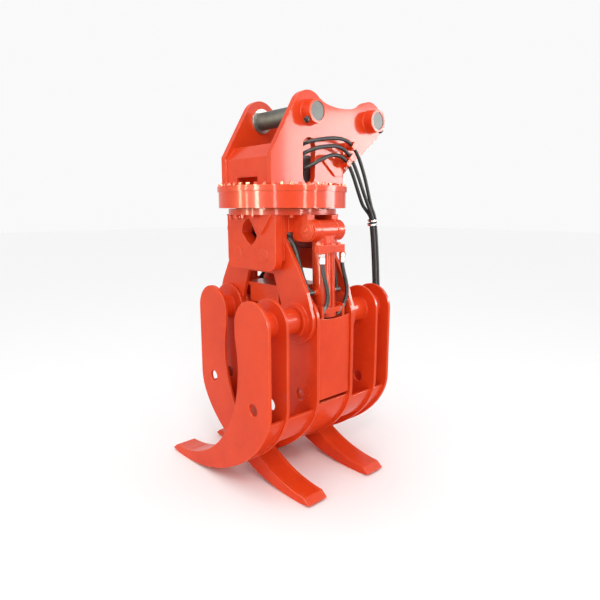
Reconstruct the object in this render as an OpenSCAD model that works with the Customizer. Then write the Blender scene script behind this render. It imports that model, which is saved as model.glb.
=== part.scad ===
// Rotating rock grapple for an excavator: a pin-on head, a slewing ring with its drive,
// an A-shaped hanger, and two interlacing jaws of box tines closed by hydraulic cylinders.
// The origin is the middle of the front head pin. +X is the side of the three-tine jaw,
// Y runs along the pivots, and heights are counted up from the tine tips.

/* [Head] */
// Height of the front head pin above the tine tips
pin_height = 1660; // [1560:10:1760]
// Diameter of the two head pins
pin_d = 80; // [60:1:90]
// Distance from the front head pin to the rear one
pin_pitch = 408; // [360:1:450]
// How much higher the rear pin sits than the front one
rear_pin_rise = 4; // [0:1:20]
// Clear width between the two side plates
ear_gap = 300; // [260:1:330]
// Thickness of a side plate
ear_t = 30; // [20:1:36]
// Radius of a side plate round each pin
ear_head_r = 92; // [80:1:100]
// Reach of the side plates in front of the front pin
ear_front = 215; // [190:1:225]
// Reach of the side plates' foot behind the front pin
ear_back = 222; // [200:1:235]
// Height of the straight front edge of a side plate
ear_front_h = 132; // [90:1:160]
// Height of the straight rear edge of a side plate
ear_back_h = 60; // [30:1:90]
// Outer diameter of the bosses round the head pins
boss_d = 102; // [98:1:130]
// How far a boss stands out from its side plate
boss_out = 54; // [30:1:60]
// Width of the hose slot in the side plate
hose_slot_w = 76; // [60:1:84]
// Length of the hose slot
hose_slot_l = 200; // [150:1:210]

/* [Slewing ring] */
// Diameter of the ring housing
drum_d = 604; // [560:2:660]
// Height of the ring housing
drum_h = 96; // [84:1:110]
// Thickness of the housing's top plate
drum_top_t = 24; // [16:1:30]
// Thickness of the housing's skirt
drum_wall = 22; // [14:1:26]
// How far the lip stands out from the skirt
drum_lip = 5; // [2:1:8]
// Height of the race that shows under the housing
race_h = 9; // [6:1:14]
// Diameter of the race that shows under the housing
race_d = 504; // [480:2:530]
// Gear module of the slewing gear
gear_m = 6; // [5:0.5:7]
// Teeth of the ring gear
ring_teeth = 62; // [56:1:66]
// Teeth of the drive pinion
pinion_teeth = 14; // [12:1:16]
// Number of bolts round the housing
drum_bolts = 24; // [12:12:24]
// Number of balls in the bearing
ball_count = 36; // [18:1:40]

/* [Hanger] */
// Thickness of the round plate under the race
deck_t = 20; // [14:1:26]
// Thickness of the A-shaped plates
a_plate_t = 18; // [12:1:20]
// Half width of the A-shaped plates at the top
a_top_half = 165; // [150:1:175]
// Width of the hanger plates
hanger_w = 348; // [340:2:356]
// Thickness of the hanger plates
hanger_t = 39; // [30:1:42]
// Height of the hanger plates
hanger_h = 244; // [200:1:250]
// Radius of the hanger legs round the pivots
leg_r = 105; // [90:1:108]

/* [Jaws] */
// Height of the jaw pivots above the tine tips
pivot_height = 772; // [740:1:790]
// Distance of each jaw pivot from the slewing axis
pivot_x = 243; // [235:1:250]
// Diameter of the pivot pins
pivot_pin_d = 65; // [50:1:70]
// Outer diameter of the pivot tubes
tube_d = 114; // [96:1:120]
// Radius of the tine plates round the pivot
head_r = 113; // [106:1:116]
// Thickness of the tine plates
tine_t = 14; // [10:1:16]
// Thickness of the skins that close the tines
skin_t = 12; // [8:1:14]
// Width over the outer tines of the three-tine jaw
jaw_w = 776; // [740:2:800]
// Width of one outer tine of the three-tine jaw
outer_tine_w = 110; // [90:1:112]
// Width of the middle tine of the three-tine jaw
middle_tine_w = 232; // [226:2:236]
// Width of one tine of the two-tine jaw
inner_tine_w = 111; // [90:1:116]
// Distance of the access hole in each tine from the tine's back
hole_inset = 108; // [90:1:120]
// Diameter of the access hole in each tine
hole_d = 54; // [52:1:70]

/* [Cylinders] */
// Outer diameter of a cylinder barrel
barrel_d = 100; // [84:1:102]
// Length of a barrel from its head pin to its open end
barrel_l = 358; // [330:1:366]
// Diameter of a piston rod
rod_d = 56; // [40:1:58]
// Diameter of the pins at both ends of a cylinder
cyl_pin_d = 50; // [40:1:52]
// Drop of the upper cylinder pins below the round plate
cyl_head_drop = 67; // [60:1:75]
// Distance of the upper cylinder pins from the slewing axis
cyl_head_x = 270; // [264:1:274]
// Height of the lower cylinder pins above the tine tips
cyl_foot_height = 455; // [445:1:470]
// Distance of the lower cylinder pins from the slewing axis
cyl_foot_x = 290; // [284:1:294]
// Thickness of the rod guard
guard_t = 8; // [5:1:9]

/* [Hoses] */
// Outer diameter of the three supply hoses
supply_d = 17; // [14:1:18]
// Outer diameter of the cylinder hoses
cyl_hose_d = 18; // [14:1:20]

/* [Hidden] */
$fn = 96;

paint = [0.88, 0.28, 0.17];
steel = [0.45, 0.46, 0.44];
bright = [0.80, 0.81, 0.82];
dark = [0.16, 0.16, 0.17];
bronze = [0.72, 0.52, 0.28];
rubber = [0.08, 0.08, 0.09];

over = 1;            // overrun of every cut past the face it opens
run_fit = 0.05;      // radial clearance of a pin that turns in its bore
ball_gap = 0.3;      // clearance round the bearing balls
side_gap = 2.5;      // side clearance between parts that turn past each other
seat_gap = 0.3;      // clearance between parts bolted together round a curve

// Head pieces
ear_in = ear_gap / 2;
ear_out = ear_in + ear_t;
rear_pin_z = pin_height + rear_pin_rise;
race_bottom = 1245;                    // underside of the race above the tine tips
drum_bottom = race_bottom + race_h;
drum_top = drum_bottom + drum_h;
drum_r = drum_d / 2;
skirt_r = drum_r - drum_lip;
shim_t = 10;
shim_wall = 16;
lock_bolt_d = 16;
lock_head_d = 26;
lock_head_h = 14;
pin_recess = 3;
cross_t = 16;
front_wall_h = 120;
front_lean_h = 56;
front_lean_back = 52;
rear_wall_h = 96;
foot_cut_w = 150;
foot_cut_h = 38;
hose_slot_foot = 8;                    // slot's lower end above the housing

// Slewing ring pieces
ring_pitch_r = gear_m * ring_teeth / 2;
pinion_pitch_r = gear_m * pinion_teeth / 2;
tooth_tip_share = 0.85;                // tooth height above the pitch circle, in modules
tooth_foot_share = 1.2;                // tooth depth below the pitch circle, in modules
ring_root_r = ring_pitch_r + gear_m * tooth_foot_share;
gear_wall = 26;
gear_h = 50;
gear_wall_r = ring_root_r + gear_wall;
ball_d = 20;
ball_ring_r = gear_wall_r + ball_gap + ball_d / 5;
gear_top = drum_bottom + gear_h;
ball_z = drum_bottom + gear_h / 2;
outer_race_in = ball_ring_r + ball_d / 5 + ball_gap;
outer_race_out = skirt_r - drum_wall - seat_gap;
outer_race_h = 62;
bolt_d = 18;
bolt_head_d = 30;
bolt_head_h = 12;
drum_bolt_r = drum_r - bolt_head_d / 2 - seat_gap;
swivel_r = 62;
swivel_top = 1505;                     // top of the swivel above the tine tips
shaft_r = 46;
spigot_r = 38;                         // the shaft's thinner end inside the swivel's housing
feed_port_angles = [-38, 38, 142, 218];
shaft_bottom = 985;                    // lower end of the swivel shaft above the tine tips
shaft_collar_r = 74;
shaft_collar_t = 14;
motor_r = 46;
motor_h = 120;
motor_flange_r = 50;
motor_flange_t = 16;
motor_shaft_r = 15;
motor_dome_share = 0.8;
motor_dome_h = 15;
motor_y = ring_pitch_r - pinion_pitch_r;

// Hanger pieces
deck_top = race_bottom;
deck_bottom = deck_top - deck_t;
cyl_head_height = deck_bottom - cyl_head_drop;
deck_r = race_d / 2 + 3 * ball_gap;
deck_hole_r = shaft_collar_r - shaft_collar_t;
mid_in = middle_tine_w / 2 - tine_t;
mid_out = middle_tine_w / 2;
a_in = mid_out + side_gap;
a_out = a_in + a_plate_t;
inner_near = a_out + side_gap;
inner_far = inner_near + inner_tine_w;
outer_far = jaw_w / 2;
outer_near = outer_far - outer_tine_w;
collar_l = 23;
collar_r = 75;
bush_wall = 8;
bush_r = pivot_pin_d / 2 + run_fit + bush_wall;
leg_inner_half = 92;
leg_inner_z = 965;                     // top of the gap between the legs
leg_cos = 0.90;                        // where the legs' edges meet the rounds at the pivots
leg_sin = 0.436;
leg_run = pivot_x + leg_r * leg_cos - a_top_half;
leg_drop = deck_bottom - pivot_height - leg_r * leg_sin;
leg_shares = [[0, 0.24], [0.49, 0.54], [0.83, 0.80]];
window_w = 240;
window_h = 108;
window_z = 1118;
wall_x_out = 175;
web_half = 104;
web_wide_half = 160;
web_top = 906;
web_h = 92;
web_plate_t = 16;
ear2_in = 54;                          // inner face of the cylinder ears from the middle
ear2_t = 40;
ear2_r = 46;
ear2_drop = 46;
hanger_pad_t = 18;                     // plate between the hanger plate and the A-shaped one
hanger_pad_in = 9;                     // how far its edges lie inside the hanger plate's
gusset_w = 146;
gusset_h = 84;
gusset_t = 12;
gusset_x = 88;
hanger_corner_r = 46;
spot_d = 56;
spot_t = 3;
spot_x = 97;
spot_drop = 176;
deck_bolt_r = 232;
deck_bolt_d = 24;
deck_bolt_angles = [31, 75, 90, 105, 149];

// Jaw pieces: the two edges of a tine plate are curves given by four points each, as
// distances from the slewing axis and heights above the tips
head_in = 0.6;                         // how far a tine's straight edges lie inside its head
back_x = pivot_x + head_r - head_in;
mouth_x = pivot_x - head_r + head_in;
tip_x = 445;
tip_z = 11;
nose_x = 414;
nose_z = 36;
toe_x = 389;
back_curve = [[back_x, 430], [back_x, 232], [19, -6], [-345, 0]];
mouth_curve = [[mouth_x, 715], [209, 404], [4, 49], [-nose_x, nose_z]];
curve_steps = 24;
hole_x = back_x - hole_inset;
hole_z = 424;
beam_top_share = 0.10;                 // where the beam starts along the back curve
beam_end_share = 0.34;                 // where the beam ends along the back curve
floor_start_share = 0.46;              // where the upper skin starts along the mouth curve
tip_share = 0.90;                      // where the solid tip starts along both curves
keeper_r = 44;
keeper_t = 8;
rod_pin_over = 3;

// Cylinder pieces
eye_r = 46;
foot_eye_r = 40;
eye_half = ear2_in - side_gap;
foot_half = 45;
barrel_wall = 5;
barrel_cap = 70;                       // depth of the barrel's solid cap below its pin
gland_d = 108;
gland_h = 20;
rod_slack = 3;                         // clearance of the rod in the gland
piston_l = 40;
piston_slack = 3;
piston_back = 44;                      // piston's lower face above the barrel's end
cyl_dx = cyl_foot_x - cyl_head_x;
cyl_dz = cyl_head_height - cyl_foot_height;
cyl_len = sqrt(cyl_dx * cyl_dx + cyl_dz * cyl_dz);
cyl_tilt = atan2(cyl_dx, cyl_dz);
guard_clear = 8;
guard_x = cyl_foot_x + foot_eye_r + guard_clear;
guard_low = cyl_foot_height - foot_eye_r + side_gap;
barrel_end = cyl_head_height - barrel_l;
guard_high = barrel_end - gland_h + 2 * side_gap;
guard_half = mid_in - 1.5 * side_gap;
guard_dish_r = 420;
guard_dish = 9;
arm_in = gland_d / 2 + 6;
arm_t = 12;
arm_h = 100;
arm_low_share = 0.65;                  // share of the arm that hangs below the barrel's end
arm_low = barrel_end - arm_low_share * arm_h;
arm_x = cyl_head_x - guard_clear;
collar2_r = 74;
collar2_h = 22;
block_h = 33;
block_low = cyl_head_height - 2 * eye_r;
block_x = 314;
block_y0 = -94;
block_y1 = 64;
block_t = 27;
sleeve_d = 25;
sleeve_l = 44;
sleeve_x = 330;
sleeve_front_y = -65;
sleeve_rear_y = 60;
feed_port_z = pivot_height + head_r + 2 * side_gap;
feed_drop = (cyl_head_height - feed_port_z) / cos(cyl_tilt);
feed_x = cyl_head_x + feed_drop * sin(cyl_tilt);
feed_reach = 66;
feed_share = 0.663;                    // height of the shaft's ports between barrel port and deck
feed_z = feed_port_z + feed_share * (deck_bottom - feed_port_z);
feed_top_share = 0.722;                // height of the hoses' highest point, in the same way
wall_h = (1 - feed_top_share) * (deck_bottom - feed_port_z) - cyl_hose_d;
half_turn = 180;

// Turns a height above the tine tips into the part's own frame
module stand() translate([0, 0, -pin_height]) children();

// Lays an outline drawn in Y and Z on a plane across X, t thick from x0 on
module across_x(x0, t) translate([x0, 0, 0]) rotate([90, 0, 90]) linear_extrude(t) children();

// Lays an outline drawn in X and Z on a plane across Y, from y0 to y1
module across_y(y0, y1) translate([0, y1, 0]) rotate([90, 0, 0]) linear_extrude(y1 - y0) children();

// A round bar along X, from x0 to x1
module bar_x(r, x0, x1) translate([x0, 0, 0]) rotate([0, 90, 0]) cylinder(r = r, h = x1 - x0);

// A round bar along Y, from y0 to y1
module bar_y(r, y0, y1) translate([0, y0, 0]) rotate([-90, 0, 0]) cylinder(r = r, h = y1 - y0);

// Both sides of the middle plane, front and rear
module both_ends() {
    children();
    mirror([0, 1, 0]) children();
}

// The left side is the right one turned half round
module left_side() rotate([0, 0, half_turn]) children();

// Points along a curve with four guide points, from share a to share b
function curve_point(c, t) = pow(1 - t, 3) * c[0] + 3 * pow(1 - t, 2) * t * c[1]
    + 3 * (1 - t) * t * t * c[2] + pow(t, 3) * c[3];
function curve_run(c, a, b) = [for (i = [0 : curve_steps])
    curve_point(c, a + (b - a) * i / curve_steps)];
function curve_slope(c, t) = 3 * pow(1 - t, 2) * (c[1] - c[0]) + 6 * (1 - t) * t * (c[2] - c[1])
    + 3 * t * t * (c[3] - c[2]);
function curve_normal(c, t) = let (s = curve_slope(c, t)) [-s[1], s[0]] / norm(s);
function curve_offset(c, a, b, d) = [for (i = [0 : curve_steps])
    let (t = a + (b - a) * i / curve_steps) curve_point(c, t) + d * curve_normal(c, t)];
function reversed(v) = [for (i = [len(v) - 1 : -1 : 0]) v[i]];

// A tube swept along a list of points, with flat ends square to the run
function unit(v) = v / norm(v);
function run_dir(p, i) = i == 0 ? unit(p[1] - p[0])
    : i == len(p) - 1 ? unit(p[i] - p[i - 1]) : unit(unit(p[i + 1] - p[i]) + unit(p[i] - p[i - 1]));
function side_dir(d, s) = unit(s - (s * d) * d);
function frames(p, i, s) = i == len(p) ? []
    : let (d = run_dir(p, i), n = side_dir(d, s)) concat([[d, n]], frames(p, i + 1, n));
module sweep(p, r, sides, start_side) {
    f = frames(p, 0, start_side);
    n = len(p);
    pts = [for (i = [0 : n - 1]) for (k = [0 : sides - 1])
        p[i] + r * (cos(360 * k / sides) * f[i][1] + sin(360 * k / sides) * cross(f[i][0], f[i][1]))];
    walls = [for (i = [0 : n - 2]) for (k = [0 : sides - 1]) for (h = [0, 1])
        let (a = i * sides + k, b = i * sides + (k + 1) % sides)
        h == 0 ? [a, a + sides, b + sides] : [a, b + sides, b]];
    caps = [[for (k = [0 : sides - 1]) k], [for (k = [sides - 1 : -1 : 0]) (n - 1) * sides + k]];
    polyhedron(pts, concat(walls, caps));
}

// Head, from the side plates down to the slewing ring

// Where the side plate's edges meet the rounds at its pins
ear_cos = 0.866;
ear_sin = 0.5;
slope_cos = 0.60;
slope_sin = 0.80;
dip_side_share = 0.67;                 // where the hollow leaves each pin's round
dip_high_share = 0.742;
dip_near_share = 0.294;                // its guide points, as shares of the pins' distance
dip_far_share = 0.711;
dip_near_low_share = 0.30;
dip_far_low_share = 0.34;
dip_curve = [[ear_head_r * dip_side_share, pin_height + ear_head_r * dip_high_share],
    [pin_pitch * dip_near_share, pin_height + ear_head_r * dip_near_low_share],
    [pin_pitch * dip_far_share, rear_pin_z + ear_head_r * dip_far_low_share],
    [pin_pitch - ear_head_r * dip_side_share, rear_pin_z + ear_head_r * dip_high_share]];

module ear_outline() {
    polygon(concat([
        [-ear_front, drum_top],
        [-ear_front, drum_top + ear_front_h],
        [-ear_head_r * ear_cos, pin_height + ear_head_r * ear_sin]],
        curve_run(dip_curve, 0, 1),
        [[pin_pitch + ear_head_r * slope_cos, rear_pin_z - ear_head_r * slope_sin],
        [ear_back, drum_top + ear_back_h],
        [ear_back, drum_top]]));
    translate([0, pin_height]) circle(r = ear_head_r);
    translate([pin_pitch, rear_pin_z]) circle(r = ear_head_r);
}

module ear_bosses() {
    for (p = [[0, pin_height], [pin_pitch, rear_pin_z]])
        translate([0, p[0], p[1]]) bar_x(boss_d / 2, ear_out, ear_out + boss_out);
}

module ear_pin_holes() {
    for (p = [[0, pin_height], [pin_pitch, rear_pin_z]])
        translate([0, p[0], p[1]]) bar_x(pin_d / 2 + run_fit, ear_in - over, ear_out + boss_out + over);
    lock_bolt_holes();
}

module hose_slot() {
    r = hose_slot_w / 2;
    z0 = drum_top + hose_slot_foot + r;
    across_x(ear_in - over, ear_t + 2 * over) {
        translate([0, z0]) circle(r = r);
        translate([0, z0 + hose_slot_l - hose_slot_w]) circle(r = r);
        translate([-r, z0]) square([hose_slot_w, hose_slot_l - hose_slot_w]);
    }
}

// The plate that carries the hose clamps, welded to the back of the right side plate
clamp_plate_t = 10;
clamp_plate = [
    [84, 1462], [160, 1398], [200, 1398], [296, 1572], [250, 1572], [172, 1440], [150, 1440],
    [104, 1480]];
module clamp_bracket() across_x(ear_out, clamp_plate_t) polygon(clamp_plate);

module side_plate_right() color(paint) stand() {
    difference() {
        union() {
            across_x(ear_in, ear_t) ear_outline();
            ear_bosses();
        }
        ear_pin_holes();
        hose_slot();
    }
    clamp_bracket();
}

module side_plate_left() color(paint) stand() mirror([1, 0, 0]) difference() {
    union() {
        across_x(ear_in, ear_t) ear_outline();
        ear_bosses();
    }
    ear_pin_holes();
}

module front_cross_plate() color(paint) stand() {
    y0 = -ear_front + cross_t / 2;
    z1 = drum_top + front_wall_h;
    difference() {
        across_x(-ear_in, ear_gap) polygon([
            [y0, drum_top], [y0 + cross_t, drum_top], [y0 + cross_t, z1 - cross_t / 2],
            [y0 + cross_t + front_lean_back, z1 + front_lean_h - cross_t / 2],
            [y0 + front_lean_back, z1 + front_lean_h], [y0, z1]]);
        translate([-foot_cut_w / 2, y0 - over, drum_top - over])
            cube([foot_cut_w, cross_t + 2 * over, foot_cut_h + over]);
    }
}

module rear_cross_plate() color(paint) stand()
    translate([-ear_in, ear_back - cross_t, drum_top]) cube([ear_gap, cross_t, rear_wall_h]);

module ring_housing() color(paint) stand() difference() {
    rotate_extrude($fn = 180) polygon([
        [swivel_r + seat_gap, drum_top], [swivel_r + seat_gap, drum_top - drum_top_t],
        [skirt_r - drum_wall, drum_top - drum_top_t], [skirt_r - drum_wall, drum_bottom],
        [skirt_r, drum_bottom], [skirt_r, drum_top - drum_top_t], [drum_r, drum_top - drum_top_t],
        [drum_r, drum_top]]);
    translate([0, motor_y, drum_top - drum_top_t - over])
        cylinder(r = motor_flange_r + seat_gap, h = drum_top_t + 2 * over);
}

module bolt_up(d, head_d, head_h) {
    cylinder(d = head_d, h = head_h, $fn = 6);
}

module housing_bolts() color(dark) stand()
    for (i = [0 : drum_bolts - 1]) rotate([0, 0, 360 * i / drum_bolts])
        translate([drum_bolt_r, 0, drum_top]) bolt_up(bolt_d, bolt_head_d, bolt_head_h);

module head_pin() {
    reach = ear_out + boss_out - pin_recess;
    bar_x(pin_d / 2, -reach, reach);
}
module front_pin() color(steel) stand() difference() {
    translate([0, 0, pin_height]) head_pin();
    lock_bolt_holes();
}
module rear_pin() color(steel) stand() difference() {
    translate([0, pin_pitch, rear_pin_z]) head_pin();
    lock_bolt_holes();
}

module pin_shims() color(steel) stand()
    for (p = [[0, pin_height], [pin_pitch, rear_pin_z]]) translate([0, p[0], p[1]]) difference() {
        bar_x(pin_d / 2 + shim_wall, -ear_in, -ear_in + shim_t);
        bar_x(pin_d / 2 + run_fit, -ear_in - over, -ear_in + shim_t + over);
    }

// A bolt through each right-hand boss keeps its pin from turning
lock_reach_share = 0.6;                // how far out on the boss the lock bolt sits
lock_seat_share = 0.35;
lock_bite = 10;                        // how deep the lock bolt enters the pin
lock_x = ear_out + boss_out * lock_reach_share;
lock_angles = [-140, -40];
lock_seat = boss_d / 2 + lock_head_h * lock_seat_share;
lock_depth = pin_d / 2 - lock_bite;
module at_locks() {
    translate([lock_x, 0, pin_height]) rotate([lock_angles[0], 0, 0]) children();
    translate([lock_x, pin_pitch, rear_pin_z]) rotate([lock_angles[1], 0, 0]) children();
}
module lock_bolt_holes() at_locks() bar_y(lock_bolt_d / 2 + seat_gap, lock_depth - seat_gap, boss_d);
module pin_lock_bolts() color(dark) stand() at_locks() {
    bar_y(lock_bolt_d / 2, lock_depth, boss_d / 2 + over);
    bar_y(lock_head_d / 2, boss_d / 2 + seat_gap, boss_d / 2 + lock_head_h);
}

module outer_race() color(steel) stand() difference() {
    rotate_extrude($fn = 180) difference() {
        translate([outer_race_in, drum_top - drum_top_t - outer_race_h])
            square([outer_race_out - outer_race_in, outer_race_h]);
        translate([ball_ring_r, ball_z]) circle(r = ball_d / 2 + ball_gap);
    }
}

module bearing_balls() color(bright) stand()
    for (i = [0 : ball_count - 1]) rotate([0, 0, 360 * i / ball_count])
        translate([ball_ring_r, 0, ball_z]) sphere(d = ball_d, $fn = 32);

// Tooth of a gear, drawn along +X from the pitch radius; grow swells it
tooth_low = 1.55;
tooth_mid = 1.22;
tooth_high = 0.62;
module tooth(r, tip, foot, slim) {
    m = gear_m * slim;
    polygon([
        [r - foot, -m * tooth_low / 2], [r, -m * tooth_mid / 2], [r + tip, -m * tooth_high / 2],
        [r + tip, m * tooth_high / 2], [r, m * tooth_mid / 2], [r - foot, m * tooth_low / 2]]);
}

module drive_pinion() color(steel) stand() {
    tip = gear_m * tooth_tip_share;
    foot = gear_m * tooth_foot_share;
    translate([0, motor_y, drum_bottom + 2 * ball_gap]) difference() {
        linear_extrude(gear_h - 4 * ball_gap) {
            circle(r = pinion_pitch_r - foot + over / 4);
            for (i = [0 : pinion_teeth - 1]) rotate(90 + 360 * i / pinion_teeth)
                tooth(pinion_pitch_r, tip, foot, 0.94);
        }
        translate([0, 0, -over]) cylinder(r = motor_shaft_r, h = 2 * over);
    }
    translate([0, motor_y, gear_top - 3 * ball_gap])
        cylinder(r = motor_shaft_r, h = drum_top - gear_top);
}

module gear_ring() color(steel) stand() {
    tip = gear_m * tooth_tip_share;
    foot = gear_m * tooth_foot_share;
    difference() {
        rotate_extrude($fn = 180) difference() {
            polygon([
                [ring_root_r, race_bottom], [race_d / 2, race_bottom],
                [race_d / 2, drum_bottom - side_gap], [gear_wall_r, drum_bottom - side_gap],
                [gear_wall_r, gear_top], [ring_root_r, gear_top]]);
            translate([ball_ring_r, ball_z]) circle(r = ball_d / 2 + ball_gap);
        }
    }
    translate([0, 0, drum_bottom]) linear_extrude(gear_h)
        for (i = [0 : ring_teeth - 1]) rotate(90 + 360 * (i + 0.5) / ring_teeth)
            translate([2 * ring_pitch_r, 0]) mirror([1, 0]) tooth(ring_pitch_r, tip, foot + over / 4, 0.94);
}

module slew_motor() color(dark) stand() translate([0, motor_y, drum_top]) difference() {
    union() {
        translate([0, 0, -drum_top_t]) cylinder(r = motor_flange_r, h = drum_top_t + motor_flange_t);
        translate([0, 0, motor_flange_t]) cylinder(r = motor_r, h = motor_h);
        translate([0, 0, motor_flange_t + motor_h])
            cylinder(r1 = motor_r, r2 = motor_r * motor_dome_share, h = motor_dome_h);
    }
    translate([0, 0, -drum_top_t - over]) cylinder(r = motor_shaft_r + run_fit, h = drum_top_t + 2 * over);
}

// The rotary joint: its housing stays with the head and its shaft turns with the hanger
port_r = 13;
port_l = 14;
supply_heights = [1488, 1445, 1395];
supply_port_angle = -30;
module swivel_housing() color(steel) stand() {
    difference() {
        translate([0, 0, gear_top + side_gap]) cylinder(r = swivel_r, h = swivel_top - gear_top - side_gap);
        translate([0, 0, gear_top]) cylinder(r = spigot_r + run_fit, h = swivel_top - gear_top - 2 * port_r);
    }
    for (z = supply_heights) translate([0, 0, z]) rotate([0, 0, supply_port_angle])
        bar_x(port_r, swivel_r - over, swivel_r + port_l);
}
module swivel_shaft() color(steel) stand() {
    translate([0, 0, shaft_bottom]) cylinder(r = shaft_r, h = gear_top - shaft_bottom);
    translate([0, 0, gear_top - over]) cylinder(r = spigot_r, h = swivel_top - gear_top - 3 * port_r);
    translate([0, 0, deck_bottom - shaft_collar_t]) cylinder(r = shaft_collar_r, h = shaft_collar_t);
    for (a = feed_port_angles) translate([0, 0, feed_z]) rotate([0, 0, a])
        bar_x(port_r, shaft_r - over, shaft_r + port_l);
}

// Supply hoses: from the swivel through the slot, along the clamps and down behind the jaws
supply_start = [[64, -37], [88, -42], [113, -39], [137, -29], [159, -14], [180, 3], [198, 23], [211, 47]];
supply_upper_start = [1488, 1494, 1505, 1519, 1531, 1540, 1546, 1551];
supply_middle_start = [1445, 1450, 1461, 1476, 1490, 1502, 1511, 1518];
supply_lower_start = [1395, 1399, 1406, 1415, 1425, 1437, 1451, 1466];
supply_upper_end = [
    [216, 78, 1556], [217, 112, 1560], [217, 147, 1562], [217, 182, 1560], [217, 214, 1552],
    [217, 243, 1536], [218, 270, 1511], [218, 294, 1478], [218, 315, 1441], [218, 335, 1400],
    [218, 354, 1354], [218, 372, 1306], [218, 392, 1258]];
supply_middle_end = [
    [216, 78, 1523], [217, 112, 1527], [217, 146, 1526], [217, 178, 1519], [217, 206, 1505],
    [217, 231, 1484], [218, 254, 1456], [218, 277, 1421], [218, 301, 1380], [218, 326, 1334],
    [218, 354, 1286]];
supply_lower_end = [
    [216, 78, 1479], [216, 110, 1487], [216, 142, 1488], [215, 172, 1483], [215, 200, 1470],
    [213, 225, 1450], [210, 249, 1422], [207, 272, 1389], [203, 296, 1352], [200, 322, 1310],
    [198, 352, 1266]];
bundle_run = [
    [0, 408, 1212], [0, 420, 1150], [0, 430, 1086], [0, 438, 1018], [0, 445, 948], [0, 451, 876],
    [0, 456, 802], [0, 459, 738], [0, 460, 692], [0, 460, 650]];
bundle_spread = [1, 1, 1, 1, 1, 1, 1.3, 1.9, 2.4, 2.4];
bundle_x = 213;
bundle_places = [[5, 10], [5, -10], [-13.5, 0]];
function start_run(heights) = [for (i = [0 : len(supply_start) - 1])
    [supply_start[i][0], supply_start[i][1], heights[i]]];
function bundle_point(i, k) = bundle_run[i] + [bundle_x, 0, 0]
    + bundle_spread[i] * [bundle_places[k][0], bundle_places[k][1], 0];
function with_bundle(heights, run, k) = concat(start_run(heights), run,
    [for (i = [0 : len(bundle_run) - 1]) bundle_point(i, k)]);
hose_sides = 8;
hose_start_side = [0, 0, 1];
module supply_hose(heights, run, k) color(rubber) stand()
    sweep(with_bundle(heights, run, k), supply_d / 2, hose_sides, hose_start_side);
module supply_hose_upper() supply_hose(supply_upper_start, supply_upper_end, 0);
module supply_hose_middle() supply_hose(supply_middle_start, supply_middle_end, 1);
module supply_hose_lower() supply_hose(supply_lower_start, supply_lower_end, 2);

fitting_l = 62;
module supply_hose_fittings() color(bright) stand()
    for (k = [0 : 2]) translate(bundle_point(len(bundle_run) - 1, k) - [0, 0, fitting_l])
        cylinder(r = supply_d / 2 + over, h = fitting_l);

clamp_t = 24;
clamp_grip = supply_d / 2 + side_gap;
clamp_half = 15;
clamp_places = [[217, 243, 1536, -36], [217, 231, 1484, -45.5], [214, 213, 1460, -38.5]];
module hose_clamps() color(paint) stand()
    for (c = clamp_places) translate([0, c[1], c[2]]) rotate([c[3], 0, 0]) difference() {
        translate([ear_out + clamp_plate_t, -clamp_t / 2, -clamp_half])
            cube([c[0] + clamp_half - ear_out - clamp_plate_t, clamp_t, 2 * clamp_half]);
        translate([c[0], 0, 0]) bar_y(clamp_grip, -clamp_t, clamp_t);
    }

// Hanger, from the round deck down to the jaw pivots

module frame_top_plate() color(paint) stand() translate([0, 0, deck_bottom]) difference() {
    cylinder(r = deck_r, h = deck_t - ball_gap, $fn = 180);
    translate([0, 0, -over]) cylinder(r = deck_hole_r, h = deck_t + 2 * over);
}

module a_outline() {
    for (m = [0, 1]) mirror([m, 0]) {
        polygon(concat([[0, deck_bottom], [a_top_half, deck_bottom]],
            [for (q = leg_shares) [a_top_half + q[0] * leg_run, deck_bottom - q[1] * leg_drop]],
            [[pivot_x + leg_r * leg_cos, pivot_height + leg_r * leg_sin], [pivot_x, pivot_height],
            [pivot_x - leg_r * leg_cos, pivot_height + leg_r * leg_sin],
            [leg_inner_half, leg_inner_z], [0, leg_inner_z]]));
        translate([pivot_x, pivot_height]) circle(r = leg_r);
    }
}

module frame_plate() {
    difference() {
        union() {
            across_y(-a_out, -a_in) a_outline();
            translate([pivot_x, 0, pivot_height]) bar_y(collar_r, -a_out - collar_l, -a_in);
        }
        for (s = [-1, 1]) translate([s * pivot_x, 0, pivot_height])
            bar_y(bush_r + seat_gap / 2, -a_out - collar_l - over, -a_in + over);
        across_y(-a_out - over, -a_in + over) window_outline();
    }
}

module window_outline() {
    r = window_h / 2;
    for (s = [-1, 1]) translate([s * (window_w / 2 - r), window_z]) circle(r = r);
    translate([-window_w / 2 + r, window_z - r]) square([window_w - window_h, window_h]);
}

module front_frame_plate() color(paint) stand() frame_plate();
module rear_frame_plate() color(paint) stand() mirror([0, 1, 0]) frame_plate();

module hanger_outline() {
    half = hanger_w / 2;
    r = hanger_corner_r;
    z0 = deck_bottom - hanger_h;
    translate([-half, z0 + r]) square([2 * half, hanger_h - r]);
    translate([-half + r, z0]) square([2 * (half - r), r + over]);
    for (s = [-1, 1]) translate([s * (half - r), z0 + r]) circle(r = r);
}

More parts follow.
